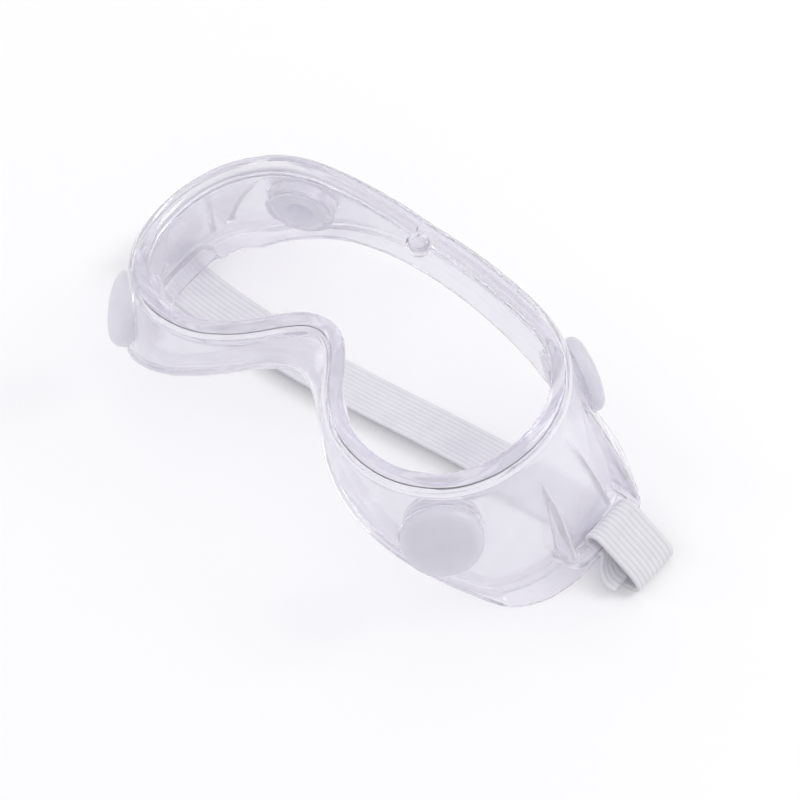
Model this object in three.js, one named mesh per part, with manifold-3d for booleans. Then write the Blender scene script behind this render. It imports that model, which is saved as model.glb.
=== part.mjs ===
// Splash safety goggles: a clear soft frame with a rounded front bead and a
// sealing flange, a clear lens held in the bead's groove, four round
// splash-proof vents (a seat that turns in the frame's hole and a hood that
// pulls off its seat), and an elastic headband threaded over the two side bars.
//
// Millimetres, +Z up. The goggles lie on a table with the lens facing up:
// +Z is the way the wearer looks, +Y is the brow, +X is the wearer's left.
// The origin is on the table under the middle of the object.
import * as THREE from 'three';
import { mergeVertices } from 'three/addons/utils/BufferGeometryUtils.js';
import Module from 'manifold-3d';

const wasm = await Module();
wasm.setup();

// ---------------------------------------------------------------- dimensions
const LENS_Z = 61;            // height of the lens's front surface at the middle
const BROW_Y = 29.3;          // shift from the brow pip to the frame's origin
const LENS_R = 570;           // radius of the lens's curve about the Y axis
const CENTRE_X = 4.02;        // from the middle of the lens to the middle of the whole
const STEPS = 2;              // stations between two outline points

const LENS_T = 1.6;           // lens thickness
const GROOVE_DEPTH = 4.2;     // depth of the groove behind the bead's edge
const GROOVE_TOP = -0.2;      // groove walls, measured from the lens's front
const GROOVE_BOTTOM = -2.4;
const LENS_TOP = -0.5;
const LENS_EDGE = 3.8;        // how far the lens reaches into the groove
const WALL_T = 1.8;           // soft wall
const LIP_IN = 8.0;           // width of the flat sealing flange

const PIP_R = 3.4;            // locating pip through the lens's notch
const PIP_Y = -1.0;
const NOTCH_R = 4.0;

const STRAP_W = 18;           // headband width
const STRAP_T = 1.4;          // headband thickness
const BAR_Z0 = 10.6;          // side bar and its arms
const BAR_Z1 = 14.0;
const BAR_IN = 90.4;          // inner and outer edge of the bar
const BAR_OUT = 94.2;
const SLOT_Y0 = -33;          // ends of the strap slot, before the BROW_Y shift
const SLOT_Y1 = -7;
const ARM = 4.2;              // width of the arms beside the slot
const WEB_T = 1.8;            // webs over the arms: thickness and top
const WEB_TOP = 44.1;

const HOLE_R = 7.3;           // vent hole in the frame's boss
const BOSS_R = 11.6;
const BOSS_TOP = 1.5;
const BOSS_BOTTOM = -3.0;
const HOOD_R = 12.3;

// half of the bead's inner edge, from the brow to the nose
const RIM = [[0, 0.4], [12, 0.6], [24, 0.3], [36, -0.8], [46, -2.6], [54, -6], [60, -11.5], [64.5, -18.5],
  [67, -27], [67.6, -36], [66, -46.5], [62, -55.5], [56, -62], [48, -66.4], [39.5, -67.5], [31, -65.8],
  [24, -61.5], [18.5, -56], [13, -49], [7.2, -43.4], [0, -41.2]];
// the flange's outer edge at the same points: x, y and height below the lens
const FLANGE = [[0, 17, -31], [14, 17.2, -32.5], [28, 17.3, -36.5], [42, 16.6, -42], [55, 14.8, -49], [67, 11.2, -55.5],
  [77, 5.5, -61], [84, -2.5, -61], [87, -14, -61], [86.8, -28, -61], [84.5, -41, -61], [79, -52.5, -61],
  [71, -63, -51], [60, -71.5, -39], [48, -75.6, -30], [37, -75.3, -24.2], [28, -72, -20], [21, -67.3, -17.5],
  [14, -61.8, -15], [7, -56.8, -13.6], [0, -54.2, -13.5]];
// each vent: point on the wall and outward axis, for the wearer's left side
const VENTS = {
  cheek: { at: [62.4, -63.3, -25.3], axis: [0.6, -0.7, 0.38] },
  brow: { at: [55.6, 4.6, -28.5], axis: [0.45, 0.87, 0.15] },
};
// where the headband passes under the flange, right and left side
const STRAP_UNDER = { left: -13, right: -28 };
// the headband's middle between them: x, y; its near edge stands off the floor there
const STRAP_MID = [[66, -14.8], [44, -17.4], [22, -20.6], [0, -24.1], [-22, -27.2], [-44, -28.6], [-66, -29.2]];
const STRAP_TILT = 0.19;      // sine of the tilt
// how far the flat flange runs out past the wall beside the temples
const FLARE = 4.6;

// ---------------------------------------------------------------- helpers
const V = (x, y, z) => new THREE.Vector3(x, y, z);

function soup(positions, triangles) {
  const g = new THREE.BufferGeometry();
  g.setAttribute('position', new THREE.Float32BufferAttribute(positions.flatMap((p) => [p.x, p.y, p.z]), 3));
  g.setIndex(triangles.flat());
  return g;
}

function toSolid(geometry) {
  let g = geometry.index ? geometry.clone() : geometry.clone();
  g.deleteAttribute('normal');
  g.deleteAttribute('uv');
  g = mergeVertices(g, 1e-4);
  const s = new wasm.Manifold(new wasm.Mesh({
    numProp: 3,
    vertProperties: new Float32Array(g.attributes.position.array),
    triVerts: new Uint32Array(g.index.array),
  }));
  return s;
}

// a solid's triangles, with the slivers that cuts leave closed up: points nearer
// than the weld distance along an edge become one, and flat triangles go
function toGeometry(solid, weld = 0.02) {
  const m = solid.getMesh(), n = m.numVert, t = m.triVerts;
  const pos = new Float32Array(n * 3);
  for (let i = 0; i < n; i++) for (let k = 0; k < 3; k++) pos[3 * i + k] = m.vertProperties[m.numProp * i + k];
  const parent = Array.from({ length: n }, (_, i) => i);
  const root = (i) => { while (parent[i] !== i) i = parent[i]; return i; };
  const gap = (a, b) => Math.hypot(pos[3 * a] - pos[3 * b], pos[3 * a + 1] - pos[3 * b + 1], pos[3 * a + 2] - pos[3 * b + 2]);
  for (let i = 0; i < t.length; i += 3) for (let k = 0; k < 3; k++) {
    const a = t[i + k], b = t[i + ((k + 1) % 3)];
    if (gap(a, b) < weld) { const ra = root(a), rb = root(b); if (ra !== rb) parent[Math.max(ra, rb)] = Math.min(ra, rb); }
  }
  const tri = [];
  for (let i = 0; i < t.length; i += 3) {
    const [a, b, c] = [root(t[i]), root(t[i + 1]), root(t[i + 2])];
    if (a !== b && b !== c && a !== c) tri.push(a, b, c);
  }
  const g = new THREE.BufferGeometry();
  g.setAttribute('position', new THREE.BufferAttribute(pos, 3));
  g.setIndex(tri);
  g.computeVertexNormals();
  return g;
}

// closed loft through rings of equal length; closed both ways
function torusLoft(rings) {
  const n = rings.length, m = rings[0].length, pts = rings.flat(), tri = [];
  for (let i = 0; i < n; i++) for (let j = 0; j < m; j++) {
    const a = i * m + j, b = i * m + ((j + 1) % m), c = ((i + 1) % n) * m + ((j + 1) % m), d = ((i + 1) % n) * m + j;
    tri.push([a, b, c], [a, c, d]);
  }
  return outward(soup(pts, tri));
}

// open loft with flat end caps
function barLoft(rings) {
  const n = rings.length, m = rings[0].length, pts = rings.flat(), tri = [];
  for (let i = 0; i < n - 1; i++) for (let j = 0; j < m; j++) {
    const a = i * m + j, b = i * m + ((j + 1) % m), c = (i + 1) * m + ((j + 1) % m), d = (i + 1) * m + j;
    tri.push([a, b, c], [a, c, d]);
  }
  for (let j = 1; j < m - 1; j++) {
    tri.push([0, j + 1, j]);
    tri.push([(n - 1) * m, (n - 1) * m + j, (n - 1) * m + j + 1]);
  }
  return outward(soup(pts, tri));
}

function outward(g) {
  const p = g.attributes.position.array, t = Array.from(g.index.array);
  let vol = 0;
  for (let i = 0; i < t.length; i += 3) {
    const [a, b, c] = [t[i] * 3, t[i + 1] * 3, t[i + 2] * 3];
    vol += p[a] * (p[b + 1] * p[c + 2] - p[b + 2] * p[c + 1]) - p[a + 1] * (p[b] * p[c + 2] - p[b + 2] * p[c]) + p[a + 2] * (p[b] * p[c + 1] - p[b + 1] * p[c]);
  }
  if (vol < 0) for (let i = 0; i < t.length; i += 3) [t[i + 1], t[i + 2]] = [t[i + 2], t[i + 1]];
  g.setIndex(t);
  return g;
}

const mirrored = (half) => {
  const back = half.slice(1, -1).reverse().map((p) => [-p[0], ...p.slice(1)]);
  return half.concat(back);
};

// uniform Catmull-Rom through closed points, STEPS stations between each pair
function closedCurve(points, steps) {
  const n = points.length, out = [];
  for (let i = 0; i < n; i++) {
    const [p0, p1, p2, p3] = [points[(i + n - 1) % n], points[i], points[(i + 1) % n], points[(i + 2) % n]];
    for (let s = 0; s < steps; s++) {
      const t = s / steps;
      out.push(p1.map((_, k) => 0.5 * (2 * p1[k] + (p2[k] - p0[k]) * t + (2 * p0[k] - 5 * p1[k] + 4 * p2[k] - p3[k]) * t * t + (3 * p1[k] - p0[k] - 3 * p2[k] + p3[k]) * t * t * t)));
    }
  }
  return out;
}

function outNormals(curve) {
  const n = curve.length;
  return curve.map((_, i) => {
    const a = curve[(i + n - 1) % n], b = curve[(i + 1) % n];
    const dx = b[0] - a[0], dy = b[1] - a[1], l = Math.hypot(dx, dy);
    return [-dy / l, dx / l];
  });
}

const lensDrop = (x) => -(x * x) / (2 * LENS_R);
const smooth = (t) => { const c = Math.min(1, Math.max(0, t)); return c * c * (3 - 2 * c); };

// ---------------------------------------------------------------- frame
const rim = closedCurve(mirrored(RIM), STEPS);
const flange = closedCurve(mirrored(FLANGE), STEPS);
const rimN = outNormals(rim);
const flangeN = outNormals(flange);
const place = (x, y, z) => V(x, y + BROW_Y, z + LENS_Z);

// the soft flange lifts over the headband that lies under it
function flangeZ(i) {
  const [x, y, z] = flange[i];
  const low = Math.max(z, -LENS_Z);
  if (Math.abs(x) < 60) return low;
  const mid = x > 0 ? STRAP_UNDER.left : STRAP_UNDER.right;
  const lift = 2.1 * smooth((16.5 - Math.abs(y - mid)) / 4.0);
  return Math.max(low, -LENS_Z + lift);
}
function flare(i) {
  const [x, y] = flange[i];
  return FLARE * smooth((Math.abs(x) - 58) / 20) * smooth((y + 66) / 24) * (1 - 0.25 * smooth((y + 2) / 8));
}

function wallPoint(i, f, inner) {
  // f = 0 under the bead, 1 at the flange
  const [px, py] = rim[i], [nx, ny] = rimN[i], z0 = lensDrop(px);
  const [fx, fy] = flange[i], [gx, gy] = flangeN[i], fz = flangeZ(i);
  const a = V(px + nx * 5.2, py + ny * 5.2, z0 - 4.6), b = V(fx, fy, fz + 2.9);
  const p = a.clone().lerp(b, f);
  const bulge = 1.6 * Math.sin(Math.PI * f);
  const ux = nx * (1 - f) + gx * f, uy = ny * (1 - f) + gy * f;
  p.x += ux * bulge; p.y += uy * bulge;
  if (inner) {
    // thickness across the wall, in the plane of the section
    const d = b.clone().sub(a), h = d.x * ux + d.y * uy, l = Math.hypot(h, d.z);
    const cu = -d.z / l, cz = h / l;
    p.x -= ux * WALL_T * cu; p.y -= uy * WALL_T * cu; p.z -= WALL_T * cz;
  }
  return p;
}

function frameRing(i) {
  const [px, py] = rim[i], [nx, ny] = rimN[i];
  const [fx, fy] = flange[i], [gx, gy] = flangeN[i], fz = flangeZ(i), out = flare(i);
  const bead = (u, v) => place(px + nx * u, py + ny * u, lensDrop(px + nx * u) + v);
  const lip = (u, v) => place(fx + gx * u, fy + gy * u, fz + v);
  const wall = (f, inner) => { const p = wallPoint(i, f, inner); return place(p.x, p.y, p.z); };
  return [
    bead(0.2, 1.0), bead(1.4, 2.3), bead(3.4, 2.8), bead(5.5, 1.9), bead(6.6, -0.3), bead(6.3, -2.8),
    wall(0, false), wall(0.3, false), wall(0.65, false), wall(1, false),
    lip(0.9 + out, 2.0 - 0.1 * out), lip(0.9 + out, 0.9 - 0.05 * out), lip(out, 0), lip(-LIP_IN, 0), lip(-LIP_IN, 1.3), lip(-3.4, 1.8),
    wall(0.93, true), wall(0.65, true), wall(0.3, true), wall(0.03, true),
    bead(0.8, -4.4), bead(0.4, GROOVE_BOTTOM), bead(GROOVE_DEPTH, GROOVE_BOTTOM), bead(GROOVE_DEPTH, GROOVE_TOP), bead(0.2, GROOVE_TOP),
  ];
}

let frame = toSolid(torusLoft(rim.map((_, i) => frameRing(i))));

// cylinder along an axis through a point, between two heights on the axis
function rod(at, axis, r, h0, h1, seg = 28) {
  const g = new THREE.CylinderGeometry(r, r, h1 - h0, seg);
  g.translate(0, (h0 + h1) / 2, 0);
  g.applyQuaternion(new THREE.Quaternion().setFromUnitVectors(V(0, 1, 0), axis.clone().normalize()));
  g.translate(at.x, at.y, at.z);
  return toSolid(g);
}

// locating pip at the brow
const pipAt = place(0, PIP_Y, 0);
frame = frame.add(rod(pipAt, V(0, 0, 1), PIP_R, -4.0, 1.9, 28));

// side bars: an outline that follows the wall's middle, with the strap slot cut out
function sideBar(side) {
  const root = [];
  for (let i = 0; i < rim.length; i++) {
    const f = 0.8;
    if (rim[i][0] * side < 40) continue;
    // height fraction where the wall crosses the bar's mid height
    let lo = 0, hi = 1;
    for (let k = 0; k < 30; k++) { const m = (lo + hi) / 2; if (wallPoint(i, m, false).z + LENS_Z > (BAR_Z0 + BAR_Z1) / 2) lo = m; else hi = m; }
    const o = wallPoint(i, lo, false), n = wallPoint(i, lo, true);
    const p = o.clone().lerp(n, 0.5);
    if (p.y > SLOT_Y0 - ARM - 5 && p.y < SLOT_Y1 + ARM + 5 && lo < 0.99) root.push([p.x, p.y]);
  }
  root.sort((a, b) => a[1] - b[1]);
  const s = new THREE.Shape();
  const y0 = SLOT_Y0 - ARM, y1 = SLOT_Y1 + ARM, c = 4.5;
  s.moveTo(root[0][0], root[0][1]);
  for (const p of root.slice(1)) s.lineTo(p[0], p[1]);
  s.lineTo(side * (BAR_OUT - c), y1);
  s.quadraticCurveTo(side * BAR_OUT, y1, side * BAR_OUT, y1 - c);
  s.lineTo(side * BAR_OUT, y0 + c);
  s.quadraticCurveTo(side * BAR_OUT, y0, side * (BAR_OUT - c), y0);
  s.closePath();
  const hole = new THREE.Path();
  const rootAt = (y) => { let best = root[0]; for (const p of root) if (Math.abs(p[1] - y) < Math.abs(best[1] - y)) best = p; return best[0]; };
  // the slot's inner edge follows the wall, 1 mm outside its outer face
  const inner = root.filter((p) => p[1] > SLOT_Y0 + 1 && p[1] < SLOT_Y1 - 1).map((p) => [p[0] + side * 1.6, p[1]]);
  hole.moveTo(side * BAR_IN, SLOT_Y0);
  hole.lineTo(side * BAR_IN, SLOT_Y1);
  hole.lineTo(rootAt(SLOT_Y1) + side * 1.6, SLOT_Y1);
  for (const p of inner.slice().reverse()) hole.lineTo(p[0], p[1]);
  hole.lineTo(rootAt(SLOT_Y0) + side * 1.6, SLOT_Y0);
  hole.closePath();
  s.holes.push(hole);
  const g = new THREE.ExtrudeGeometry(s, { depth: BAR_Z1 - BAR_Z0, bevelEnabled: false, curveSegments: 6 });
  g.translate(0, BROW_Y, BAR_Z0);
  return toSolid(g);
}
frame = frame.add(sideBar(1)).add(sideBar(-1));

// thin webs that run from the bar's arms up the wall
function web(side, y) {
  const edge = [];
  for (let z = BAR_Z0 + 1.4; z <= WEB_TOP; z += 3.2) {
    let last = null;
    for (let i = 0; i < rim.length; i++) {
      if (rim[i][0] * side < 40) { last = null; continue; }
      let lo = 0, hi = 1;
      for (let k = 0; k < 24; k++) { const m = (lo + hi) / 2; if (wallPoint(i, m, false).z + LENS_Z > z) lo = m; else hi = m; }
      const p = wallPoint(i, lo, false).lerp(wallPoint(i, lo, true), 0.45);
      if (last && (last.y - y) * (p.y - y) <= 0) { const t = (y - last.y) / (p.y - last.y); edge.push([Math.abs(last.x + (p.x - last.x) * t), z]); break; }
      last = p;
    }
  }
  const s = new THREE.Shape(), top = edge[edge.length - 1], xo = BAR_OUT - 1.6;
  s.moveTo(edge[0][0], edge[0][1]);
  for (const e of edge.slice(1)) s.lineTo(e[0], e[1]);
  s.quadraticCurveTo(top[0] + (xo - top[0]) * 0.62, top[1] + (BAR_Z1 - top[1]) * 0.42, xo, BAR_Z1 - 0.6);
  s.lineTo(xo, edge[0][1]);
  s.closePath();
  const g = new THREE.ExtrudeGeometry(s, { depth: WEB_T, bevelEnabled: false, curveSegments: 5 });
  g.rotateX(Math.PI / 2);
  g.translate(0, y + WEB_T / 2 + BROW_Y, 0);
  if (side < 0) g.applyMatrix4(new THREE.Matrix4().makeScale(-1, 1, 1));
  return toSolid(outward(mergeVertices((() => { g.deleteAttribute('normal'); g.deleteAttribute('uv'); return g; })(), 1e-4)));
}
for (const side of [1, -1]) for (const y of [SLOT_Y0 - ARM / 2, SLOT_Y1 + ARM / 2]) frame = frame.add(web(side, y));

// vent bosses and holes
const vents = [];
for (const [row, v] of Object.entries(VENTS)) for (const side of [1, -1]) {
  const at = place(side * v.at[0], v.at[1], v.at[2]);
  const axis = V(side * v.axis[0], v.axis[1], v.axis[2]).normalize();
  vents.push({ name: `${row}_${side > 0 ? 'left' : 'right'}`, at, axis });
  frame = frame.add(rod(at, axis, BOSS_R, -4.4, BOSS_TOP));
  frame = frame.subtract(rod(at, axis, BOSS_R - 1.6, -9.0, BOSS_BOTTOM));
  frame = frame.subtract(rod(at, axis, HOOD_R + 0.6, BOSS_TOP, 12.0));
  frame = frame.subtract(rod(at, axis, HOLE_R, -7.0, 3.0));
}

// ---------------------------------------------------------------- lens
function outlineShape(offset) {
  const s = new THREE.Shape();
  rim.forEach(([x, y], i) => {
    const p = [x + rimN[i][0] * offset, y + rimN[i][1] * offset];
    if (i === 0) s.moveTo(p[0], p[1]); else s.lineTo(p[0], p[1]);
  });
  s.closePath();
  return s;
}
const lensBlank = new THREE.ExtrudeGeometry(outlineShape(LENS_EDGE), { depth: 30, bevelEnabled: false });
lensBlank.translate(0, BROW_Y, LENS_Z - 20);
const bent = [];
for (let i = 0; i <= 40; i++) {
  const x = -80 + 4 * i, z = LENS_Z + lensDrop(x) + LENS_TOP;
  bent.push([V(x, -60, z), V(x, 50, z), V(x, 50, z - LENS_T), V(x, -60, z - LENS_T)]);
}
let lens = toSolid(lensBlank).intersect(toSolid(barLoft(bent)));
lens = lens.subtract(rod(pipAt, V(0, 0, 1), NOTCH_R, -12, 12, 32));
const notch = new THREE.BoxGeometry(2 * NOTCH_R, 12, 24);
notch.translate(0, pipAt.y + 6, LENS_Z);
lens = lens.subtract(toSolid(notch));

// ---------------------------------------------------------------- headband
// centre line of one side, from the free tail, under and round the bar, down
// the outer layer to the fold and back under the flange: x, z, y
const BAR_C = [(BAR_IN + BAR_OUT) / 2, (BAR_Z0 + BAR_Z1) / 2];
function strapSide(yTail, yBar, yFold, yUnder) {
  const r = 3.7, [cx, cz] = BAR_C;
  const pts = [[103.6, 3.2, yTail], [100.0, 4.0, yTail], [96.5, 6.0, yTail + (yBar - yTail) * 0.4]];
  const a0 = (-50 * Math.PI) / 180, a1 = (-300 * Math.PI) / 180;
  for (let k = 0; k <= 10; k++) {
    const a = a0 + ((a1 - a0) * k) / 10;
    pts.push([cx + r * Math.cos(a), cz + r * Math.sin(a), yBar]);
  }
  pts.push([98.8, 12.2, yBar + (yFold - yBar) * 0.35], [103.0, 9.2, yBar + (yFold - yBar) * 0.7], [106.4, 6.2, yFold], [108.2, 3.9, yFold], [108.2, 1.9, yFold], [106.4, 0.84, yFold], [102.5, 0.7, yFold]);
  pts.push([96, 0.7, yFold + (yUnder - yFold) * 0.5], [84, 0.7, yUnder]);
  return pts;
}
const leftSide = strapSide(-22, -17.5, -16.5, STRAP_UNDER.left);
// the other side lies tight: from the free tail under and round the bar, then
// down outside it and back under the flange
function tightSide(yTail, yBar, yFold, yUnder) {
  const r = 3.7, [cx, cz] = BAR_C;
  const pts = [[97.0, 6.3, yTail], [95.6, 7.4, yBar]];
  const a0 = (-70 * Math.PI) / 180, a1 = (-285 * Math.PI) / 180;
  for (let k = 0; k <= 9; k++) {
    const a = a0 + ((a1 - a0) * k) / 9;
    pts.push([cx + r * Math.cos(a), cz + r * Math.sin(a), yBar]);
  }
  const at = (t) => yBar + (yFold - yBar) * t;
  pts.push([96.4, 15.0, at(0.2)], [98.6, 12.6, at(0.35)], [99.9, 9.6, at(0.5)], [100.1, 6.4, at(0.65)], [99.3, 3.6, at(0.8)], [97.4, 1.6, at(0.9)], [94.6, 0.78, yFold], [91, 0.7, yFold]);
  pts.push([84, 0.7, yUnder]);
  return pts;
}
const rightSide = tightSide(-20, -20.5, -24, STRAP_UNDER.right).map(([x, z, y]) => [-x, z, y]).reverse();
const tilt = (x) => STRAP_TILT * smooth((64 - x) / 26) * smooth((x + 70) / 40);
const middle = STRAP_MID.map(([x, y]) => [x, 0.7 + tilt(x) * STRAP_W / 2, y]);
const strapPath = leftSide.concat(middle, rightSide);
const strapRings = strapPath.map(([x, z, y], i) => {
  const a = strapPath[Math.max(0, i - 1)], b = strapPath[Math.min(strapPath.length - 1, i + 1)];
  const dx = b[0] - a[0], dz = b[1] - a[1], l = Math.hypot(dx, dz);
  const nx = -dz / l, nz = dx / l, h = STRAP_T / 2, w = STRAP_W / 2;
  const up = w * tilt(x), c = Math.sqrt(w * w - up * up);
  return [V(x + nx * h, y + BROW_Y - c, z + nz * h + up), V(x + nx * h, y + BROW_Y + c, z + nz * h - up), V(x - nx * h, y + BROW_Y + c, z - nz * h - up), V(x - nx * h, y + BROW_Y - c, z - nz * h + up)];
});
const strap = toSolid(barLoft(strapRings));

// ---------------------------------------------------------------- vents
// all profiles are radius, height on the vent's axis from the wall's outer face
const lathe = (pts, seg = 24) => new THREE.LatheGeometry(pts.map(([r, h]) => new THREE.Vector2(r, h)), seg);

function ventSeat() {
  let s = toSolid(outward(lathe([[4.8, -4.5], [9.0, -4.5], [9.3, -4.1], [9.3, -3.3], [6.9, -3.3], [6.9, 1.8], [9.9, 1.8], [9.9, 2.8], [6.6, 2.8], [6.6, 4.6], [4.8, 4.6], [4.8, -4.5]])));
  s = s.add(rod(V(0, 0, 0), V(0, 1, 0), 3.0, 0.2, 4.6, 16));
  for (let k = 0; k < 3; k++) {
    const b = new THREE.BoxGeometry(12, 2.0, 1.4);
    b.translate(0, 3.4, 0);
    b.rotateY((k * Math.PI) / 3);
    s = s.add(toSolid(b));
  }
  // air slots through the neck
  for (let k = 0; k < 6; k++) {
    const b = new THREE.BoxGeometry(3.2, 1.3, 2.4);
    b.translate(5.9, 4.4, 0);
    b.rotateY(((k + 0.5) * Math.PI) / 3);
    s = s.subtract(toSolid(b));
  }
  return s.subtract(rod(V(0, 0, 0), V(0, 1, 0), 1.8, -1, 6, 16));
}
function ventHood() {
  return toSolid(outward(lathe([[0, -0.6], [1.3, -0.6], [1.3, 4.9], [2.6, 4.9], [2.6, 6.0], [9.6, 6.0], [10.9, 5.2], [10.9, 3.2], [12.3, 3.2], [12.3, 5.9], [11.5, 7.3], [10.0, 8.1], [6.0, 8.7], [0, 8.9]])));
}

// ---------------------------------------------------------------- scene graph
const CLEAR_PVC = { color: 0xe9e6ef, roughness: 0.25, metalness: 0.0 };
const CLEAR_PC = { color: 0xf3f1f7, roughness: 0.05, metalness: 0.0 };
const FROSTED = { color: 0xdcdbe2, roughness: 0.5, metalness: 0.0 };
const KNIT = { color: 0xe4e3e8, roughness: 0.95, metalness: 0.0 };

const goggles = new THREE.Group();
goggles.position.x = -CENTRE_X;   // the headband's two loops differ in length
function piece(name, solid, look, at, axis) {
  const mesh = new THREE.Mesh(toGeometry(solid), new THREE.MeshStandardMaterial(look));
  mesh.name = name;
  if (at) mesh.position.copy(at);
  if (axis) mesh.quaternion.setFromUnitVectors(V(0, 1, 0), axis);
  goggles.add(mesh);
  return mesh;
}

piece('frame_body', frame, CLEAR_PVC);
piece('lens', lens, CLEAR_PC);
piece('headband', strap, KNIT);
for (const v of vents) {
  piece(`vent_seat_${v.name}`, ventSeat(), FROSTED, v.at, v.axis);
  piece(`vent_hood_${v.name}`, ventHood(), FROSTED, v.at, v.axis);
}

export default goggles;
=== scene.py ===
# Splash safety goggles: the looks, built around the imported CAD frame.
# Metres. +Z up, +Y the brow, +X the wearer's left, lens facing up.
import math
import bpy
import bmesh
import numpy as np
from mathutils import Matrix, Vector, noise


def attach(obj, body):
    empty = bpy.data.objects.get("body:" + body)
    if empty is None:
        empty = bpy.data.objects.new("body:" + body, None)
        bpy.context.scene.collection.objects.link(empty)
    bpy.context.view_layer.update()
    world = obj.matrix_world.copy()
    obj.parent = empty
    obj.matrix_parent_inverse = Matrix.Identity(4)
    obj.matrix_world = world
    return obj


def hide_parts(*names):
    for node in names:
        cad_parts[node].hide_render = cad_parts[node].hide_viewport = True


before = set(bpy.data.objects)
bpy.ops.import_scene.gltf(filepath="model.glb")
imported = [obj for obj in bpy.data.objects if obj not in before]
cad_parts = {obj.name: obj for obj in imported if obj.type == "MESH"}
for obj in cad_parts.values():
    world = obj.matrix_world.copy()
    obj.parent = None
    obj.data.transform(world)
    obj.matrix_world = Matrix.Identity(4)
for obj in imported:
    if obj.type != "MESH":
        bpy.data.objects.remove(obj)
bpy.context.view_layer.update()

MM = 0.001

# ------------------------------------------------------------------ dimensions
# the same numbers as the CAD model, in millimetres
LENS_Z, BROW_Y, LENS_R = 61.0, 29.3, 570.0
LENS_T, LENS_TOP, LENS_EDGE = 1.6, -0.5, 3.8
WALL_T, LIP_IN = 1.8, 8.0
PIP_R, PIP_Y, NOTCH_R = 3.4, -1.0, 4.0
STRAP_W, STRAP_T = 18.0, 1.4
BAR_Z0, BAR_Z1, BAR_IN, BAR_OUT = 10.6, 14.0, 90.4, 94.2
SLOT_Y0, SLOT_Y1, ARM = -33.0, -7.0, 4.2
HOLE_R, BOSS_R, BOSS_TOP, BOSS_BOTTOM, HOOD_R = 7.3, 11.6, 1.5, -3.0, 12.3
RIM = [[0, 0.4], [12, 0.6], [24, 0.3], [36, -0.8], [46, -2.6], [54, -6], [60, -11.5], [64.5, -18.5],
       [67, -27], [67.6, -36], [66, -46.5], [62, -55.5], [56, -62], [48, -66.4], [39.5, -67.5], [31, -65.8],
       [24, -61.5], [18.5, -56], [13, -49], [7.2, -43.4], [0, -41.2]]
FLANGE = [[0, 17, -31], [14, 17.2, -32.5], [28, 17.3, -36.5], [42, 16.6, -42], [55, 14.8, -49], [67, 11.2, -55.5],
          [77, 5.5, -61], [84, -2.5, -61], [87, -14, -61], [86.8, -28, -61], [84.5, -41, -61], [79, -52.5, -61],
          [71, -63, -51], [60, -71.5, -39], [48, -75.6, -30], [37, -75.3, -24.2], [28, -72, -20], [21, -67.3, -17.5],
          [14, -61.8, -15], [7, -56.8, -13.6], [0, -54.2, -13.5]]
VENTS = {"cheek": ([62.4, -63.3, -25.3], [0.6, -0.7, 0.38]), "brow": ([55.6, 4.6, -28.5], [0.45, 0.87, 0.15])}
STRAP_UNDER = (-13.0, -28.0)      # left, right
STRAP_MID = [[66, -14.8], [44, -17.4], [22, -20.6], [0, -24.1], [-22, -27.2], [-44, -28.6], [-66, -29.2]]
STRAP_TILT = 0.19
RIDGES = (7.62,)                  # where a moulded ridge runs down each side wall
WEB_T, WEB_TOP = 1.8, 44.1
FLARE = 4.6                       # how far the flat flange runs out past the wall beside the temples
CENTRE_X = 4.02                   # from the middle of the lens to the middle of the whole

# ------------------------------------------------------------------ camera
AZ, EL, ROLL = (math.radians(v) for v in (42.0, 55.1, -1.2))
FOCAL, SCALE = 1982.0, 3.26       # pixels for an 800-pixel frame, pixels per mm at the brow
right = np.array([math.cos(AZ), math.sin(AZ), 0.0])
back = np.array([math.sin(AZ) * math.cos(EL), -math.cos(AZ) * math.cos(EL), math.sin(EL)])
up = np.cross(back, right)
r2 = right * math.cos(ROLL) + up * math.sin(ROLL)
u2 = -right * math.sin(ROLL) + up * math.cos(ROLL)
R = np.array([r2, u2, back])
shift = np.array([(421 - 400) / SCALE, (400 - 240) / SCALE, -FOCAL / SCALE])
eye = (-R.T @ shift + np.array([-CENTRE_X, BROW_Y, LENS_Z])) * MM
cam_data = bpy.data.cameras.new("camera")
cam = bpy.data.objects.new("camera", cam_data)
bpy.context.scene.collection.objects.link(cam)
cam_data.sensor_width = 36.0
cam_data.lens = FOCAL / 800.0 * 36.0
cam_data.clip_start, cam_data.clip_end = 0.01, 20.0
cam.matrix_world = Matrix([[*row, e] for row, e in zip(R.T.tolist(), eye.tolist())] + [[0, 0, 0, 1]])
bpy.context.scene.camera = cam


# ------------------------------------------------------------------ helpers
def smooth(t):
    c = min(1.0, max(0.0, t))
    return c * c * (3 - 2 * c)


def drop(x):
    return -(x * x) / (2 * LENS_R)


def mirrored(half):
    return [list(p) for p in half] + [[-p[0], *p[1:]] for p in half[1:-1][::-1]]


def closed_curve(points, params):
    """Uniform Catmull-Rom through closed points, at the given parameters."""
    P = np.array(points, float)
    n = len(P)
    out = []
    for t in params:
        i, s = int(t) % n, t - int(t)
        p0, p1, p2, p3 = P[i - 1], P[i], P[(i + 1) % n], P[(i + 2) % n]
        out.append(0.5 * (2 * p1 + (p2 - p0) * s + (2 * p0 - 5 * p1 + 4 * p2 - p3) * s * s
                          + (3 * p1 - p0 - 3 * p2 + p3) * s ** 3))
    return np.array(out)


def open_curve(points, per):
    """Catmull-Rom through open points, per steps between each pair."""
    P = np.array([2 * np.array(points[0]) - np.array(points[1]), *points, 2 * np.array(points[-1]) - np.array(points[-2])], float)
    out = []
    for i in range(1, len(P) - 2):
        p0, p1, p2, p3 = P[i - 1:i + 3]
        for k in range(per):
            s = k / per
            out.append(0.5 * (2 * p1 + (p2 - p0) * s + (2 * p0 - 5 * p1 + 4 * p2 - p3) * s * s
                              + (3 * p1 - p0 - 3 * p2 + p3) * s ** 3))
    out.append(P[-2])
    return np.array(out)


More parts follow.
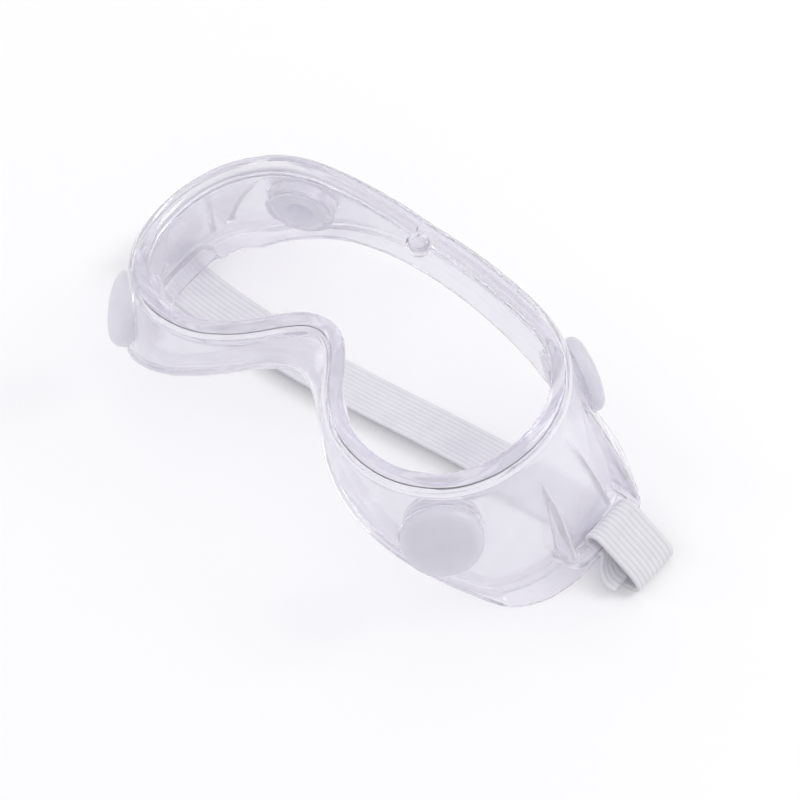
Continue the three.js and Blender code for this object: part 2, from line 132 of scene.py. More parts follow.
def out_normals(curve):
    d = np.roll(curve, -1, 0) - np.roll(curve, 1, 0)
    d = d[:, :2] / np.linalg.norm(d[:, :2], axis=1)[:, None]
    return np.stack([-d[:, 1], d[:, 0]], 1)


def new_object(name, verts, faces, fac=None):
    """A mesh object from points in millimetres, with an optional point value that holds gloss on the clear parts and
    painted groove shade on the headband.
    """
    me = bpy.data.meshes.new(name)
    me.from_pydata([tuple(c * MM for c in v) for v in verts], [], [tuple(int(i) for i in f) for f in faces])
    if fac is not None:
        at = me.attributes.new("gloss_and_groove_shade", "FLOAT", "POINT")
        at.data.foreach_set("value", np.asarray(fac, dtype=np.float32))
    bm = bmesh.new()
    bm.from_mesh(me)
    bmesh.ops.recalc_face_normals(bm, faces=bm.faces)
    if bm.calc_volume(signed=True) < 0:
        bmesh.ops.reverse_faces(bm, faces=bm.faces)
    bm.to_mesh(me)
    bm.free()
    ob = bpy.data.objects.new(name, me)
    bpy.context.scene.collection.objects.link(ob)
    return ob


def loft(name, rings, closed_u=True, caps=False, fac=None):
    """Rings of points to a mesh; each ring closes on itself, and closed_u joins the last ring to the first."""
    n, m = len(rings), len(rings[0])
    verts = [p for r in rings for p in r]
    faces = []
    for i in range(n if closed_u else n - 1):
        for j in range(m):
            a, b = i * m + j, i * m + (j + 1) % m
            c, d = ((i + 1) % n) * m + (j + 1) % m, ((i + 1) % n) * m + j
            faces.append((a, b, c, d))
    if caps:
        faces.append(tuple(range(m))[::-1])
        faces.append(tuple((n - 1) * m + j for j in range(m)))
    return new_object(name, verts, faces, fac)


def lathe(name, profile, seg=96, fac=None):
    """A closed or axis-to-axis profile of radius and height (mm) turned about Z."""
    verts, index, faces = [], [], []
    for r, h in profile:
        if r < 1e-6:
            index.append([len(verts)] * seg)
            verts.append((0, 0, h))
        else:
            index.append(list(range(len(verts), len(verts) + seg)))
            verts += [(r * math.cos(2 * math.pi * k / seg), r * math.sin(2 * math.pi * k / seg), h) for k in range(seg)]
    loop = profile[0][0] > 1e-6 and profile[-1][0] > 1e-6
    n = len(profile)
    for i in range(n if loop else n - 1):
        for k in range(seg):
            q = [index[i][k], index[i][(k + 1) % seg], index[(i + 1) % n][(k + 1) % seg], index[(i + 1) % n][k]]
            f = []
            for v in q:
                if v not in f:
                    f.append(v)
            if len(f) > 2:
                faces.append(f)
    return new_object(name, verts, faces, None if fac is None else [fac] * len(verts))


def rounded(profile, radius, per=4, closed=False):
    """Corners of a 2-D profile replaced by small curves."""
    out, n = [], len(profile)
    for i, p in enumerate(profile):
        p = np.array(p, float)
        if not closed and i in (0, n - 1):
            out.append(tuple(p))
            continue
        a, b = np.array(profile[i - 1], float), np.array(profile[(i + 1) % n], float)
        r = radius[i] if hasattr(radius, "__len__") else radius
        la, lb = np.linalg.norm(a - p), np.linalg.norm(b - p)
        if r <= 0:
            out.append(tuple(p))
            continue
        ra, rb = min(r, la * 0.45), min(r, lb * 0.45)
        A, B = p + (a - p) / la * ra, p + (b - p) / lb * rb
        for k in range(per + 1):
            t = k / per
            out.append(tuple((1 - t) ** 2 * A + 2 * t * (1 - t) * p + t * t * B))
    return out


def aim(at, axis):
    """Matrix that stands a lathe on its axis at a point, both in millimetres."""
    m = Vector((0, 0, 1)).rotation_difference(Vector(axis).normalized()).to_matrix().to_4x4()
    m.translation = Vector(at) * MM
    return m


def bake_in(ob, matrix):
    ob.data.transform(matrix)
    return ob


SOLVERS = {e.identifier for e in bpy.types.BooleanModifier.bl_rna.properties["solver"].enum_items}


def boolean(ob, other, how):
    """Joins or cuts with another object, which goes."""
    m = ob.modifiers.new("b", "BOOLEAN")
    m.operation, m.object = how, other
    m.solver = "MANIFOLD" if "MANIFOLD" in SOLVERS else "EXACT"
    dg = bpy.context.evaluated_depsgraph_get()
    me = bpy.data.meshes.new_from_object(ob.evaluated_get(dg))
    ob.modifiers.clear()
    old, gone = ob.data, other.data
    ob.data = me
    bpy.data.meshes.remove(old)
    bpy.data.objects.remove(other)
    bpy.data.meshes.remove(gone)
    return ob


def shade(ob, angle=None):
    me = ob.data
    me.shade_smooth()
    if angle is not None:
        me.set_sharp_from_angle(angle=math.radians(angle))
    return ob


def place(p):
    return (p[0], p[1] + BROW_Y, p[2] + LENS_Z)


# ------------------------------------------------------------------ soft frame
FINE = {int(r) for r in RIDGES} | {39 - int(r) for r in RIDGES}
params = []
for k in range(40):
    steps = 26 if k in FINE else 8
    params += [k + s / steps for s in range(steps)]
rim = closed_curve(mirrored(RIM), params)
flange = closed_curve(mirrored(FLANGE), params)
rim_n, flange_n = out_normals(rim), out_normals(flange)


def flange_z(i):
    x, y, z = flange[i]
    low = max(z, -LENS_Z)
    if abs(x) < 60:
        return low
    mid = STRAP_UNDER[0] if x > 0 else STRAP_UNDER[1]
    return max(low, -LENS_Z + 2.1 * smooth((16.5 - abs(y - mid)) / 4.0))


def flare(i):
    x, y, _ = flange[i]
    return FLARE * smooth((abs(x) - 58) / 20) * smooth((y + 66) / 24) * (1 - 0.25 * smooth((y + 2) / 8))


def ridge(i, f):
    """Height of the moulded ridges on the side walls."""
    t = params[i] if params[i] < 20 else 40 - params[i]
    h = 0.0
    for r, tall in zip(RIDGES, (0.95,)):
        d = (t - r) * 10.0
        h += tall * math.exp(-(d / 0.62) ** 2)
    return h * smooth((f - 0.06) / 0.4) * smooth((0.97 - f) / 0.1)


def wall_point(i, f, inner):
    (px, py), (nx, ny) = rim[i], rim_n[i]
    (fx, fy, _), (gx, gy) = flange[i], flange_n[i]
    fz, z0 = flange_z(i), drop(rim[i][0])
    a = np.array([px + nx * 5.2, py + ny * 5.2, z0 - 4.6])
    b = np.array([fx, fy, fz + 2.9])
    p = a + (b - a) * f
    bulge = 1.6 * math.sin(math.pi * f)
    ux, uy = nx * (1 - f) + gx * f, ny * (1 - f) + gy * f
    d = b - a
    h = d[0] * ux + d[1] * uy
    l = math.hypot(h, d[2])
    cu, cz = -d[2] / l, h / l
    p[0] += ux * bulge
    p[1] += uy * bulge
    t = -WALL_T if inner else ridge(i, f)
    # slow unevenness of soft moulded plastic, the same on both faces
    q = Vector((p[0] * 0.045, p[1] * 0.045, p[2] * 0.045))
    t += 0.22 * noise.noise(q) * smooth(f / 0.15) * smooth((1 - f) / 0.12)
    return p + np.array([ux * cu, uy * cu, cz]) * t


BEAD = [(0.35, -0.2), (0.22, -0.05), (0.2, 0.25), (0.2, 0.7), (0.3, 1.05), (0.62, 1.45), (1.05, 1.85), (1.6, 2.25), (2.3, 2.6),
        (3.05, 2.8), (3.8, 2.78), (4.5, 2.55), (5.1, 2.15), (5.65, 1.6), (6.1, 0.95), (6.42, 0.25), (6.6, -0.5),
        (6.65, -1.25), (6.55, -1.95), (6.3, -2.6), (5.95, -3.15), (5.6, -3.6), (5.35, -4.05)]
OUTER = [0.0, 0.03, 0.07, 0.12, 0.17, 0.22, 0.27, 0.32, 0.37, 0.42, 0.47, 0.52, 0.57, 0.62, 0.67, 0.72, 0.77, 0.82, 0.87, 0.92, 0.96, 0.99]
FOOT, EDGE = (0.15, 0.35, 0.55, 0.75, 0.9), (62, 42, 22, 2, -18, -38, -58, -76, -90)
UNDER = [(-1.2, 0.02), (-2.6, 0.0), (-4.2, 0.0), (-5.8, 0.0), (-7.0, 0.0), (-7.6, 0.06), (-7.9, 0.25), (-8.02, 0.62), (-7.9, 1.0),
         (-7.55, 1.22), (-6.6, 1.34), (-5.4, 1.46), (-4.3, 1.64), (-3.5, 1.95), (-2.95, 2.35)]
INNER = [0.93, 0.89, 0.85, 0.8, 0.75, 0.7, 0.65, 0.6, 0.55, 0.5, 0.45, 0.4, 0.35, 0.3, 0.25, 0.2, 0.16, 0.12, 0.08, 0.04]
GROOVE = [(1.5, -4.75), (1.05, -4.6), (0.7, -4.25), (0.52, -3.8), (0.42, -3.2), (0.4, -2.75), (0.5, -2.48), (0.8, -2.4), (1.6, -2.4),
          (2.5, -2.4), (3.4, -2.4), (3.95, -2.36), (4.16, -2.15), (4.2, -1.7), (4.2, -0.9), (4.16, -0.45), (3.95, -0.24),
          (3.4, -0.2), (2.5, -0.2), (1.6, -0.2), (0.8, -0.2)]


def frame_ring(i):
    (px, py), (nx, ny) = rim[i], rim_n[i]
    (fx, fy, _), (gx, gy) = flange[i], flange_n[i]
    fz = flange_z(i)
    bead = lambda u, v: (px + nx * u, py + ny * u, drop(px + nx * u) + v)
    lip = lambda u, v: (fx + gx * u, fy + gy * u, fz + v)
    pts = [bead(u, v) for u, v in BEAD]
    pts += [wall_point(i, f, False) for f in OUTER]
    out = flare(i)
    r = 1.22 - 0.08 * out
    edge = [np.array(lip(out + 1.07 - r + r * math.cos(math.radians(t)), r + 0.05 + r * math.sin(math.radians(t)))) for t in EDGE]
    start, mid = np.array(pts[-1]), np.array(lip(0.1 + 0.16 * out, 2.5 - 0.14 * out))
    pts += [start * (1 - t) ** 2 + mid * 2 * t * (1 - t) + edge[0] * t * t for t in FOOT] + edge
    pts += [lip(u, v) for u, v in UNDER]
    pts += [wall_point(i, f, True) for f in INNER]
    pts += [bead(u, v) for u, v in GROOVE]
    return [place(p) for p in pts]


gloss_and_groove_shade = [1.0] * len(BEAD) + [max(0.0, 1 - f / 0.05) for f in OUTER] + [0.05, 0.1, 0.2, 0.35, 0.5] + [0.55] * len(EDGE) + [0.4] * len(UNDER) + [0.0] * len(INNER) + [1.0] * len(GROOVE)
rings = [frame_ring(i) for i in range(len(rim))]
body = loft("frame_soft", rings, fac=gloss_and_groove_shade * len(rings))

# the locating pip at the brow: a rounded button on a stem
pip = lathe("pip", [(0, -4.0), (PIP_R, -4.0), *rounded([(PIP_R, -4.0), (PIP_R, 1.9), (0.0, 2.0)], 1.5, 6)[1:]], 48, 1.0)
body = boolean(body, bake_in(pip, aim(place((0, PIP_Y, 0)), (0, 0, 1))), "UNION")


def side_bar(side):
    """Arms and bar round the strap slot, as one bent rod with rounded edges."""
    ya, yb = SLOT_Y0 - ARM / 2, SLOT_Y1 + ARM / 2
    zc = (BAR_Z0 + BAR_Z1) / 2
    xo = (BAR_IN + BAR_OUT) / 2

    def root(y):
        best = None
        for i in range(len(rim)):
            if rim[i][0] * side < 40:
                continue
            lo, hi = 0.0, 1.0
            for _ in range(24):
                m = (lo + hi) / 2
                if wall_point(i, m, False)[2] + LENS_Z > zc:
                    lo = m
                else:
                    hi = m
            p = (wall_point(i, lo, False) + wall_point(i, lo, True)) / 2
            if best is None or abs(p[1] - y) < abs(best[1] - y):
                best = p
        return abs(best[0])

    c = 3.6
    path = [(root(ya), ya, 4.2)]
    path += [(root(ya) + (xo - c - root(ya)) * k / 4, ya, 4.2) for k in range(1, 4)]
    path += [(xo - c + c * math.sin(math.radians(t)), ya + c - c * math.cos(math.radians(t)), 4.1) for t in range(0, 91, 10)]
    path += [(xo, ya + c + (yb - ya - 2 * c) * k / 8, 3.8) for k in range(1, 8)]
    path += [(xo - c + c * math.cos(math.radians(t)), yb - c + c * math.sin(math.radians(t)), 4.1) for t in range(0, 91, 10)]
    path += [(root(yb) + (xo - c - root(yb)) * k / 4, yb, 4.2) for k in range(3, 0, -1)]
    path += [(root(yb), yb, 4.2)]
    P = np.array(path)
    sect = []
    for t in range(0, 360, 12):
        ca, sa = math.cos(math.radians(t)), math.sin(math.radians(t))
        e = 0.42
        sect.append((math.copysign(abs(ca) ** e, ca), math.copysign(abs(sa) ** e, sa)))
    rr = []
    for i in range(len(P)):
        a, b = P[max(0, i - 1)], P[min(len(P) - 1, i + 1)]
        d = (b - a)[:2] / np.linalg.norm((b - a)[:2])
        n = np.array([-d[1], d[0]])
        w = P[i][2] / 2
        rr.append([(side * (P[i][0] + n[0] * w * s), P[i][1] + n[1] * w * s + BROW_Y, zc + (BAR_Z1 - BAR_Z0) / 2 * h) for s, h in sect])
    return loft("bar", rr, closed_u=False, caps=True, fac=[0.7] * (len(rr) * len(sect)))


def web(side, y):
    """A thin web from a bar arm up the wall, with a rounded free edge."""
    edge, z = [], BAR_Z0 + 1.4
    while z <= WEB_TOP:
        last = None
        for i in range(len(rim)):
            if rim[i][0] * side < 40:
                last = None
                continue
            lo, hi = 0.0, 1.0
            for _ in range(20):
                m = (lo + hi) / 2
                if wall_point(i, m, False)[2] + LENS_Z > z:
                    lo = m
                else:
                    hi = m
            q = wall_point(i, lo, False) * 0.55 + wall_point(i, lo, True) * 0.45
            if last is not None and (last[1] - y) * (q[1] - y) <= 0:
                t = (y - last[1]) / (q[1] - last[1])
                edge.append((abs(last[0] + (q[0] - last[0]) * t), z))
                break
            last = q
        z += 3.2
    top, xo = edge[-1], BAR_OUT - 1.6
    c = (top[0] + (xo - top[0]) * 0.62, top[1] + (BAR_Z1 - top[1]) * 0.42)
    e = (xo, BAR_Z1 - 0.6)
    free = [((1 - t) ** 2 * top[0] + 2 * t * (1 - t) * c[0] + t * t * e[0], (1 - t) ** 2 * top[1] + 2 * t * (1 - t) * c[1] + t * t * e[1])
            for t in np.linspace(0, 1, 15)[1:]] + [(xo, edge[0][1])]
    loops = []
    for s, inset in ((-1, 0.7), (-0.86, 0.32), (-0.55, 0.06), (0, 0), (0.55, 0.06), (0.86, 0.32), (1, 0.7)):
        pts = list(edge)
        for k, (x, zz) in enumerate(free):
            a, b = (free[k - 1] if k else top), free[min(k + 1, len(free) - 1)]
            d = np.array([b[0] - a[0], b[1] - a[1]])
            d /= np.linalg.norm(d)
            pts.append((x + d[1] * inset, zz - d[0] * inset) if k < len(free) - 1 else (x - inset, zz))
        loops.append([(side * x, y + s * WEB_T / 2 + BROW_Y, zz) for x, zz in pts])
    return loft("web", loops, closed_u=False, caps=True, fac=[0.6] * (len(loops) * len(loops[0])))


for side in (1, -1):
    body = boolean(body, side_bar(side), "UNION")
    for y in (SLOT_Y0 - ARM / 2, SLOT_Y1 + ARM / 2):
        body = boolean(body, web(side, y), "UNION")

vents = []
for row, (at, axis) in VENTS.items():
    for side in (1, -1):
        where = place((side * at[0], at[1], at[2]))
        ax = (side * axis[0], axis[1], axis[2])
        vents.append((f"{row}_{'left' if side > 0 else 'right'}", aim(where, ax)))
        M = vents[-1][1]
        boss = lathe("boss", [(0, -4.4), (BOSS_R, -4.4), *rounded([(BOSS_R, -4.4), (BOSS_R, BOSS_TOP), (0, BOSS_TOP)], 0.5, 4)[1:]], 72, 0.6)
        body = boolean(body, bake_in(boss, M), "UNION")
        for r, a, b in ((BOSS_R - 1.6, -9.0, BOSS_BOTTOM), (HOOD_R + 0.6, BOSS_TOP, 12.0), (HOLE_R, -7.0, 3.0)):
            body = boolean(body, bake_in(lathe("cut", [(0, a), (r, a), (r, b), (0, b)], 72, 0.6), M), "DIFFERENCE")
shade(body, 38)
print("frame faces", len(body.data.polygons))

# ------------------------------------------------------------------ lens
outline = [(x + n[0] * LENS_EDGE, y + n[1] * LENS_EDGE) for (x, y), n in zip(rim, rim_n)]
blank = loft("lens_blank", [[(x, y + BROW_Y, z) for x, y in outline] for z in (LENS_Z - 20, LENS_Z + 10)], closed_u=False, caps=True)
slab = []
for i in range(81):
    x = -80 + 2 * i
    z = LENS_Z + drop(x) + LENS_TOP
    slab.append([(x, -60, z), (x, 50, z), (x, 50, z - LENS_T), (x, -60, z - LENS_T)])
lens = loft("lens_clear", slab, closed_u=False, caps=True)
lens = boolean(lens, blank, "INTERSECT")
lens = boolean(lens, bake_in(lathe("cut", [(0, -12), (NOTCH_R, -12), (NOTCH_R, 12), (0, 12)], 64), aim(place((0, PIP_Y, 0)), (0, 0, 1))), "DIFFERENCE")
cut = loft("cut", [[(x, y, z) for x, y in ((-NOTCH_R, PIP_Y + BROW_Y), (NOTCH_R, PIP_Y + BROW_Y), (NOTCH_R, PIP_Y + BROW_Y + 12), (-NOTCH_R, PIP_Y + BROW_Y + 12))] for z in (LENS_Z - 12, LENS_Z + 12)], closed_u=False, caps=True)
lens = boolean(lens, cut, "DIFFERENCE")
shade(lens, 30)

# ------------------------------------------------------------------ vents
SEAT = [(4.8, -4.5), (9.0, -4.5), (9.3, -4.1), (9.3, -3.3), (6.9, -3.3), (6.9, 1.8), (9.9, 1.8), (9.9, 2.8), (6.6, 2.8), (6.6, 4.6), (4.8, 4.6)]
HOOD = [(0, -0.6), (1.3, -0.6), (1.3, 4.9), (2.6, 4.9), (2.6, 6.0), (9.6, 6.0), (10.9, 5.2), (10.9, 3.2), (12.3, 3.2), (12.3, 5.9),
        (11.5, 7.3), (10.0, 8.1), (6.0, 8.7), (0, 8.9)]


def vent_seat(name, M):
    ob = lathe(name, rounded(SEAT, 0.28, 3, closed=True), 96)
    hub = lathe("hub", rounded([(0, 0.2), (3.0, 0.2), (3.0, 4.6), (0, 4.6)], 0.3, 3), 48)
    ob = boolean(ob, hub, "UNION")
    for k in range(3):
        spoke = loft("spoke", [[(x, y, z) for y, z in rounded([(-0.7, 2.4), (0.7, 2.4), (0.7, 4.4), (-0.7, 4.4)], 0.25, 3, closed=True)] for x in (-6.0, 6.0)], closed_u=False, caps=True)
        ob = boolean(ob, bake_in(spoke, Matrix.Rotation(k * math.pi / 3, 4, "Z")), "UNION")
    for k in range(6):
        slot = loft("slot", [[(x, y, z) for y, z in rounded([(-1.2, 3.75), (1.2, 3.75), (1.2, 5.05), (-1.2, 5.05)], 0.3, 3, closed=True)] for x in (4.3, 7.5)], closed_u=False, caps=True)
        ob = boolean(ob, bake_in(slot, Matrix.Rotation((k + 0.5) * math.pi / 3, 4, "Z")), "DIFFERENCE")
    bore = lathe("bore", [(0, -1), (1.8, -1), (1.8, 6), (0, 6)], 48)
    ob = boolean(ob, bore, "DIFFERENCE")
    return shade(bake_in(ob, M), 35)


def vent_hood(name, M):
    prof = rounded(HOOD, [0, 0.25, 0.2, 0.2, 0.2, 0.5, 0.5, 0.2, 0.35, 0.6, 0.9, 1.2, 2.5, 0], 5)
    return shade(bake_in(lathe(name, prof, 96), M), 35)


seats, hoods = [], []
for vent, M in vents:
    seats.append((vent, vent_seat(f"seat_{vent}_moulded", M)))
    hoods.append((vent, vent_hood(f"hood_{vent}_moulded", M)))


# ------------------------------------------------------------------ headband
def strap_side(y_tail, y_bar, y_fold, y_under):
    r, cx, cz = 3.7, (BAR_IN + BAR_OUT) / 2, (BAR_Z0 + BAR_Z1) / 2
    pts = [[103.6, 3.2, y_tail], [100.0, 4.0, y_tail], [96.5, 6.0, y_tail + (y_bar - y_tail) * 0.4]]
    for k in range(11):
        a = math.radians(-50 - 25 * k)
        pts.append([cx + r * math.cos(a), cz + r * math.sin(a), y_bar])
    pts += [[98.8, 12.2, y_bar + (y_fold - y_bar) * 0.35], [103.0, 9.2, y_bar + (y_fold - y_bar) * 0.7], [106.4, 6.2, y_fold],
            [108.2, 3.9, y_fold], [108.2, 1.9, y_fold], [106.4, 0.84, y_fold], [102.5, 0.7, y_fold]]
    return pts + [[95, 0.7, y_fold + (y_under - y_fold) * 0.5], [84, 0.7, y_under]]


def tight_side(y_tail, y_bar, y_fold, y_under):
    r, cx, cz = 3.7, (BAR_IN + BAR_OUT) / 2, (BAR_Z0 + BAR_Z1) / 2
    pts = [[97.0, 6.3, y_tail], [95.6, 7.4, y_bar]]
    for k in range(10):
        a = math.radians(-70 - 215 * k / 9)
        pts.append([cx + r * math.cos(a), cz + r * math.sin(a), y_bar])
    at = lambda t: y_bar + (y_fold - y_bar) * t
    pts += [[96.4, 15.0, at(0.2)], [98.6, 12.6, at(0.35)], [99.9, 9.6, at(0.5)], [100.1, 6.4, at(0.65)], [99.3, 3.6, at(0.8)],
            [97.4, 1.6, at(0.9)], [94.6, 0.78, y_fold], [91, 0.7, y_fold]]
    return pts + [[84, 0.7, y_under]]


left = strap_side(-22, -17.5, -16.5, STRAP_UNDER[0])
rightside = [[-x, z, y] for x, z, y in tight_side(-20, -20.5, -24, STRAP_UNDER[1])][::-1]
tilt = lambda x: STRAP_TILT * smooth((64 - x) / 26) * smooth((x + 70) / 40)
middle = [[x, 0.7 + tilt(x) * STRAP_W / 2, y] for x, y in STRAP_MID]
route = open_curve([np.array(p, float) for p in left + middle + rightside], 12)
arc = np.concatenate([[0], np.cumsum(np.linalg.norm(np.diff(route, axis=0), axis=1))])
STRAP_LEN = float(arc[-1])
even = np.linspace(0, STRAP_LEN, int(STRAP_LEN / 0.62) + 1)
route = np.stack([np.interp(even, arc, route[:, k]) for k in range(3)], 1)
# knitted ribs across the width: raised cords between fine grooves; the value kept per point is painted shade, darker in
# the grooves and stitch dips
RIBS, ACROSS = 10, 90
rows, groove_shade = [], []
for i, (x, z, y) in enumerate(route):
    a, b = route[max(0, i - 1)], route[min(len(route) - 1, i + 1)]
    dx, dz = b[0] - a[0], b[1] - a[1]
    l = math.hypot(dx, dz)
    nx, nz = -dz / l, dx / l
    row = []
    for face in (1, -1):
        for k in range(ACROSS + 1):
            s = k / ACROSS if face > 0 else 1 - k / ACROSS
            w = -STRAP_W / 2 + STRAP_W * s
            e = smooth(min(s, 1 - s) * STRAP_W / 0.55)
            rib = abs(math.sin(math.pi * RIBS * s)) ** 0.6
            stitch = math.sin(2 * math.pi * (i * 0.62 / 1.24) + (math.pi if int(RIBS * s) % 2 else 0))
            h = STRAP_T / 2 * (0.55 + 0.45 * e) - 0.2 * (1 - rib) - 0.045 * (1 - stitch) * rib
            # painted shade: this value darkens the colour in the grooves between cords and in the stitch dips
            groove_shade.append(0.75 * rib + 0.125 * (1 + stitch))
            row.append((x + nx * h * face, y + BROW_Y + w * math.sqrt(1 - tilt(x) ** 2), z + nz * h * face - w * tilt(x)))
    rows.append(row)
strap = loft("headband_knit", rows, closed_u=False, caps=True, fac=groove_shade)
shade(strap)
print("strap length mm", round(STRAP_LEN, 1), "faces", len(strap.data.polygons))


# ------------------------------------------------------------------ materials
def tree(name):
    m = bpy.data.materials.new(name)
    m.use_nodes = True
    nt = m.node_tree
    nt.nodes.clear()
    out = nt.nodes.new("ShaderNodeOutputMaterial")
    return m, nt, out


def node(nt, kind, **values):
    n = nt.nodes.new(kind)
    for k, v in values.items():
        if hasattr(n, k) and k not in n.inputs:
            setattr(n, k, v)
        else:
            n.inputs[k].default_value = v
    return n


def glassy(name, tint, rough_wall, rough_bead, milk, bump, scale, shadow, gloss_attr=False):
    m, nt, out = tree(name)
    link = nt.links.new
    co = node(nt, "ShaderNodeTexCoord")
    p = node(nt, "ShaderNodeBsdfPrincipled")
    p.inputs["IOR"].default_value = 1.47
    p.inputs["Transmission Weight"].default_value = 1.0 - milk
    fine = node(nt, "ShaderNodeTexNoise", Scale=scale, Detail=3.0, Roughness=0.6)
    slow = node(nt, "ShaderNodeTexNoise", Scale=scale * 0.12, Detail=3.0, Roughness=0.55)
    link(co.outputs["Object"], fine.inputs["Vector"])
    link(co.outputs["Object"], slow.inputs["Vector"])
    ramp = node(nt, "ShaderNodeMapRange")
    ramp.inputs["From Min"].default_value, ramp.inputs["From Max"].default_value = 0.35, 0.65
    link(slow.outputs["Fac"], ramp.inputs["Value"])
    mix = node(nt, "ShaderNodeMix", data_type="RGBA")
    mix.inputs[6].default_value = (*tint, 1)
    mix.inputs[7].default_value = (*[min(1.0, c * 1.03) for c in tint], 1)
    link(ramp.outputs["Result"], mix.inputs[0])
    link(mix.outputs[2], p.inputs["Base Color"])
    rough = node(nt, "ShaderNodeMapRange")
    rough.inputs["To Min"].default_value, rough.inputs["To Max"].default_value = rough_wall, rough_bead
    b = node(nt, "ShaderNodeBump", Distance=0.0004)
    if gloss_attr:
        at = node(nt, "ShaderNodeAttribute", attribute_name="gloss_and_groove_shade")
        link(at.outputs["Fac"], rough.inputs["Value"])
        str_ = node(nt, "ShaderNodeMapRange")
        str_.inputs["To Min"].default_value, str_.inputs["To Max"].default_value = bump, bump * 0.04
        link(at.outputs["Fac"], str_.inputs["Value"])
        link(str_.outputs["Result"], b.inputs["Strength"])
        clear = node(nt, "ShaderNodeMapRange")
        clear.inputs["To Min"].default_value, clear.inputs["To Max"].default_value = 1.0 - milk, 0.91
        link(at.outputs["Fac"], clear.inputs["Value"])
        link(clear.outputs["Result"], p.inputs["Transmission Weight"])
    else:
        link(fine.outputs["Fac"], rough.inputs["Value"])
        b.inputs["Strength"].default_value = bump
    link(rough.outputs["Result"], p.inputs["Roughness"])
    link(fine.outputs["Fac"], b.inputs["Height"])
    link(b.outputs["Normal"], p.inputs["Normal"])
    lp = node(nt, "ShaderNodeLightPath")
    tr = node(nt, "ShaderNodeBsdfTransparent")
    tr.inputs["Color"].default_value = (*shadow, 1)
    ms = node(nt, "ShaderNodeMixShader")
    passed = node(nt, "ShaderNodeMath", operation="MAXIMUM")
    link(lp.outputs["Is Shadow Ray"], passed.inputs[0])
    link(lp.outputs["Is Diffuse Ray"], passed.inputs[1])
    link(passed.outputs[0], ms.inputs[0])
    link(p.outputs[0], ms.inputs[1])
    link(tr.outputs[0], ms.inputs[2])
    link(ms.outputs[0], out.inputs["Surface"])
    return m


PVC = glassy("clear_soft_pvc", (0.87, 0.86, 0.90), 0.06, 0.035, 0.26, 0.07, 1500.0, (0.965, 0.96, 0.975), True)
LENS = glassy("clear_polycarbonate", (0.99, 0.985, 0.995), 0.0, 0.02, 0.0, 0.005, 300.0, (0.985, 0.983, 0.99))
FROST = glassy("frosted_vent_plastic", (0.80, 0.79, 0.84), 0.30, 0.42, 0.5, 0.12, 1400.0, (0.88, 0.875, 0.9))


def knit():
    m, nt, out = tree("knit_elastic")
    link = nt.links.new
    co = node(nt, "ShaderNodeTexCoord")
    p = node(nt, "ShaderNodeBsdfPrincipled")
    p.inputs["Roughness"].default_value = 0.86
    p.inputs["Sheen Weight"].default_value = 0.35
    p.inputs["Sheen Roughness"].default_value = 0.5
    p.inputs["Specular IOR Level"].default_value = 0.25
    fuzz = node(nt, "ShaderNodeTexNoise", Scale=2600.0, Detail=4.0, Roughness=0.65)
    slow = node(nt, "ShaderNodeTexNoise", Scale=160.0, Detail=2.0)
    link(co.outputs["Object"], fuzz.inputs["Vector"])
    link(co.outputs["Object"], slow.inputs["Vector"])
    add = node(nt, "ShaderNodeMath", operation="MULTIPLY_ADD")
    add.inputs[1].default_value, add.inputs[2].default_value = 0.4, 0.3
    link(slow.outputs["Fac"], add.inputs[0])
    mul = node(nt, "ShaderNodeMath", operation="MULTIPLY_ADD")
    mul.inputs[1].default_value = 0.5
    link(fuzz.outputs["Fac"], mul.inputs[0])
    link(add.outputs[0], mul.inputs[2])
    mix = node(nt, "ShaderNodeMix", data_type="RGBA")
    mix.inputs[6].default_value = (0.56, 0.55, 0.60, 1)
    mix.inputs[7].default_value = (0.86, 0.85, 0.89, 1)
    link(mul.outputs[0], mix.inputs[0])
    # painted shade: the base colour is multiplied down to 0.8 in the grooves between cords and in the stitch dips
    groove_shade_attr = node(nt, "ShaderNodeAttribute", attribute_name="gloss_and_groove_shade")
    groove_shade_mix = node(nt, "ShaderNodeMix", data_type="RGBA", blend_type="MULTIPLY")
    groove_shade_mix.inputs[0].default_value = 1.0
    shade_ = node(nt, "ShaderNodeMapRange")
    shade_.inputs["To Min"].default_value, shade_.inputs["To Max"].default_value = 0.80, 1.0
    link(groove_shade_attr.outputs["Fac"], shade_.inputs["Value"])
    link(mix.outputs[2], groove_shade_mix.inputs[6])
    link(shade_.outputs["Result"], groove_shade_mix.inputs[7])
    link(groove_shade_mix.outputs[2], p.inputs["Base Color"])
    b = node(nt, "ShaderNodeBump", Strength=0.5, Distance=0.0002)
    link(fuzz.outputs["Fac"], b.inputs["Height"])
    link(b.outputs["Normal"], p.inputs["Normal"])
    link(p.outputs[0], out.inputs["Surface"])
    return m


KNIT = knit()
for ob, mat in [(body, PVC), (lens, LENS), (strap, KNIT)] + [(o, FROST) for _, o in seats + hoods]:
    ob.data.materials.clear()
    ob.data.materials.append(mat)

for ob in [body, lens, strap] + [o for _, o in seats + hoods]:
    ob.data.transform(Matrix.Translation((-CENTRE_X * MM, 0, 0)))

# ------------------------------------------------------------------ riding
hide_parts("frame_body")
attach(body, "frame")
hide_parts("lens")
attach(lens, "frame")
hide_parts("headband")
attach(strap, "frame")
for vent, ob in seats:
    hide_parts(f"vent_seat_{vent}")
    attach(ob, f"seat_{vent}")
for vent, ob in hoods:
    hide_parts(f"vent_hood_{vent}")
    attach(ob, f"hood_{vent}")

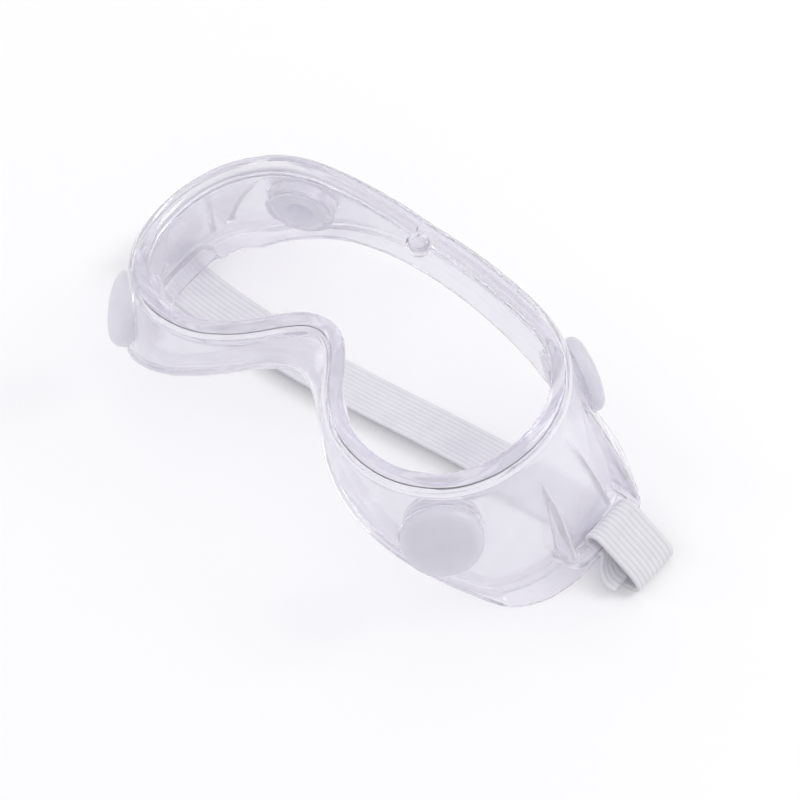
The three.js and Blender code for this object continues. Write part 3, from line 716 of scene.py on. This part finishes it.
# ------------------------------------------------------------------ floor and light
floor = new_object("floor", [(-3000, -3000, -0.15), (3000, -3000, -0.15), (3000, 3000, -0.15), (-3000, 3000, -0.15)], [(0, 1, 2, 3)])
m, nt, out = tree("pale_floor")
p = node(nt, "ShaderNodeBsdfDiffuse", Color=(0.93, 0.93, 0.935, 1))
nt.links.new(p.outputs[0], out.inputs["Surface"])
floor.data.materials.append(m)

world = bpy.data.worlds.new("studio")
bpy.context.scene.world = world
world.use_nodes = True
nt = world.node_tree
nt.nodes.clear()
co = nt.nodes.new("ShaderNodeTexCoord")
sep = nt.nodes.new("ShaderNodeSeparateXYZ")
ramp = nt.nodes.new("ShaderNodeValToRGB")
bg = nt.nodes.new("ShaderNodeBackground")
wo = nt.nodes.new("ShaderNodeOutputWorld")
nt.links.new(co.outputs["Generated"], sep.inputs[0])
nt.links.new(sep.outputs["Z"], ramp.inputs[0])
ramp.color_ramp.elements[0].position, ramp.color_ramp.elements[0].color = 0.0, (0.42, 0.41, 0.5, 1)
ramp.color_ramp.elements[1].position, ramp.color_ramp.elements[1].color = 0.62, (1.0, 1.0, 1.0, 1)
nt.links.new(ramp.outputs[0], bg.inputs["Color"])
bg.inputs["Strength"].default_value = 0.97
nt.links.new(bg.outputs[0], wo.inputs["Surface"])


def softbox(name, loc, size, energy, colour=(1, 1, 1)):
    d = bpy.data.lights.new(name, "AREA")
    d.shape, d.size, d.size_y, d.energy, d.color = "RECTANGLE", size[0], size[1], energy, colour
    o = bpy.data.objects.new(name, d)
    bpy.context.scene.collection.objects.link(o)
    o.location = loc
    o.rotation_mode = "QUATERNION"
    o.rotation_quaternion = (Vector((0, 0, 0.03)) - Vector(loc)).to_track_quat("-Z", "Y")
    return o


softbox("softbox_key", (0.75, 0.95, 1.05), (0.6, 0.6), 5.0)
softbox("softbox_fill", (-1.25, -0.55, 0.9), (0.4, 1.0), 2.6)

sc = bpy.context.scene
sc.view_settings.view_transform = "Standard"
sc.view_settings.look = "None"
sc.cycles.transparent_max_bounces = 40
sc.cycles.max_bounces = 24
sc.cycles.transmission_bounces = 24
sc.cycles.glossy_bounces = 8
sc.cycles.diffuse_bounces = 4
sc.cycles.caustics_reflective = False
sc.cycles.caustics_refractive = False
